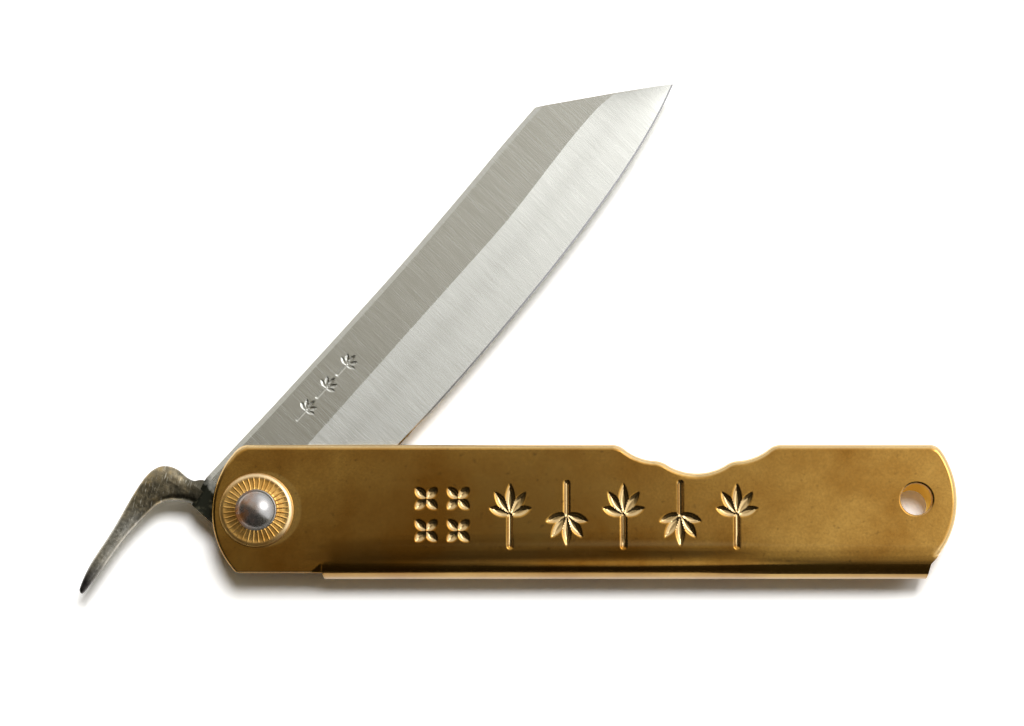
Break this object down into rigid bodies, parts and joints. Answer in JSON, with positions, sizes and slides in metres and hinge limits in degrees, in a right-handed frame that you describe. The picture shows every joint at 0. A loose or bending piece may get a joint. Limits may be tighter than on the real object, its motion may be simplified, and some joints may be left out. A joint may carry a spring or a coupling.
{
  "type": "folding pocket knife",
  "caption": "Folding pocket knife: a brass sheet handle folded to a channel, a forged blade with a slanted point and a thumb lever, on a riveted pivot with fluted washers.",
  "frame": {"origin": "under the middle of the part's outline as it lies on its back with the blade half open, at the height of the lower rivet head's crown", "axes": "+X along the handle towards the tail, +Y towards the handle's open side, +Z through the thickness towards the cheek with the pressed leaves"},
  "size_m": [0.1178, 0.0692, 0.0097],
  "materials": {
    "brass_sheet": "satin brass sheet, handled and slightly darkened",
    "pressed_brass": "pressed brass, brighter on the edges of its flutes",
    "polished_rivet": "polished steel dome",
    "ground_steel": "ground steel, scratched across the blade, with a dark forged lever"
  },
  "bodies": {
    "handle": {"handle": "brass_sheet", "front_washer": "pressed_brass", "back_washer": "pressed_brass", "pivot_rivet": "polished_rivet"},
    "blade": {"blade": "ground_steel"}
  },
  "joints": [
    {"name": "blade_pivot", "type": "hinge", "parent": "handle", "child": "blade", "pos_m": [-0.03508, -0.02371, 0.00485], "axis": [0, 0, 1], "range_deg": [-47, 133]}
  ]
}
